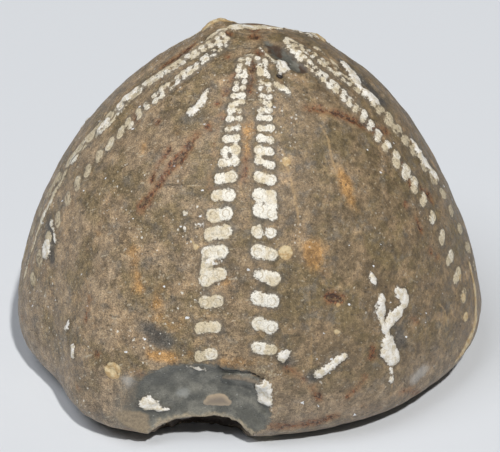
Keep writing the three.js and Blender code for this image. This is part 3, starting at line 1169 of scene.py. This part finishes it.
# Skin shows again as a pale lip along the arch, and the hollow behind it is painted near black: painted shade
# over dark flint.
lip = skin.plus(skin.field("notch"), skin.times(skin.noise(0.9, 3), -1.2))
lip = skin.times(scar, skin.ramp(lip, -0.5, 0.2, 0.85, 0))
colour = skin.mix(lip, colour, skin.grainy(rgb(192, 176, 148), 0.4, 3, 0.3, 0.7, 0.66, 1.2))
# Painted shade inside the arch.
arch_hollow_shade = skin.ramp(skin.field("notch"), -0.75, -0.3, 1, 0)
colour = skin.mix(arch_hollow_shade, colour, rgb(48, 38, 31))
flake_tone = skin.mix(skin.ramp(skin.field("flake"), -0.8, 0.0), rgb(146, 132, 116), rgb(178, 160, 136))
colour = skin.mix(soft_edge(skin, "flake", 0.1, 0.2, 0.5), colour, flake_tone)
ledge = soft_edge(skin, "ledge", 0.15, 0.5, 0.5)
ledge_tone = skin.grainy(rgb(128, 116, 100), 0.4, 3, 0.3, 0.7, 0.75, 1.25)
colour = skin.lay(colour, ledge_tone, ledge, 0.9)
foot = soft_edge(skin, "foot", 0.3, 0.8, 0.6)
foot_tone = skin.grainy(rgb(152, 136, 112), 0.3, 4, 0.3, 0.7, 0.7, 1.25, roughness=0.7)
colour = skin.lay(colour, foot_tone, foot, 0.9)
# Painted shade: the pits and the crack are painted near black.
shaded_pit = soft_edge(skin, "shaded_pit", 0.06, 0.2, 0.3)
colour = skin.mix(shaded_pit, colour, rgb(36, 28, 25))

# %% Tan spots and chalk
tan_spot = soft_edge(skin, "tan", 0.1, 0.45, 0.4)
tan_tone = skin.mix(skin.blotches(0.7, 3, 0.4, 0.62), rgb(200, 168, 118), rgb(224, 204, 162))
tan_tone = skin.grainy(tan_tone, 0.2, 3, 0.3, 0.7, 0.78, 1.1, roughness=0.7)
colour = skin.lay(colour, tan_tone, tan_spot, 0.88)
# Painted shade round the foot of each crust.
crust_foot_shade = skin.ramp(skin.field("chalk"), 0.05, 0.6, 0.6, 0)
crust_foot_shade = skin.times(crust_foot_shade, skin.blotches(1.2, 2, 0.4, 0.58))
colour = skin.mix(crust_foot_shade, colour, rgb(78, 72, 63))
chalk = soft_edge(skin, "chalk", 0.09, 1.0, 0.36)
chalk_tone = skin.mix(skin.blotches(0.8, 4, 0.34, 0.6, roughness=0.7), rgb(218, 206, 180), rgb(248, 245, 238))
chalk_tone = skin.grainy(chalk_tone, 0.17, 3, 0.28, 0.55, 0.76, 1.0, roughness=0.7)
colour = skin.mix(chalk, colour, chalk_tone)
print(len(skin.tree.nodes), "nodes with the marks")

# %% Finish the shader
GRAIN_BUMP, LUMP_BUMP, CRUST_BUMP = 0.10, 0.12, 0.07  # how far each lifts the surface
SCAR_BUMP_SHARE = 0.3  # broken flint is smoother than the skin
CRUST_DULLS, SCAR_SHINES = 0.3, 0.15  # how much each changes the roughness

crust_mask = skin.maths("MAXIMUM", pore, chalk)
height_map = skin.times(skin.noise(0.3, 5, 0.7), GRAIN_BUMP)
height_map = skin.plus(height_map, skin.times(skin.noise(1.1, 3), LUMP_BUMP))
height_map = skin.times(height_map, skin.ramp(scar, 0, 1, 1, SCAR_BUMP_SHARE))
height_map = skin.plus(height_map, skin.times(crust_mask, CRUST_BUMP))
bump = skin.add("ShaderNodeBump")
bump.inputs["Distance"].default_value = MM
bump.inputs["Strength"].default_value = 1.0
skin.feed(bump.inputs["Height"], height_map)
skin.feed(skin.shader.inputs["Normal"], bump.outputs["Normal"])
skin.feed(skin.shader.inputs["Base Color"], colour)
gloss = skin.blotches(0.8, 4, 0.35, 0.7, 0.40, 0.66)
gloss = skin.plus(gloss, skin.times(crust_mask, CRUST_DULLS), clamp=True)
gloss = skin.maths("SUBTRACT", gloss, skin.times(scar, SCAR_SHINES))
skin.feed(skin.shader.inputs["Roughness"], gloss)
skin.shader.inputs["Specular IOR Level"].default_value = 0.5
fossil.data.materials.append(skin.material)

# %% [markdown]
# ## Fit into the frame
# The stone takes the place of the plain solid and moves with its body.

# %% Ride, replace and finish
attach(fossil, "root")
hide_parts("flint_urchin")
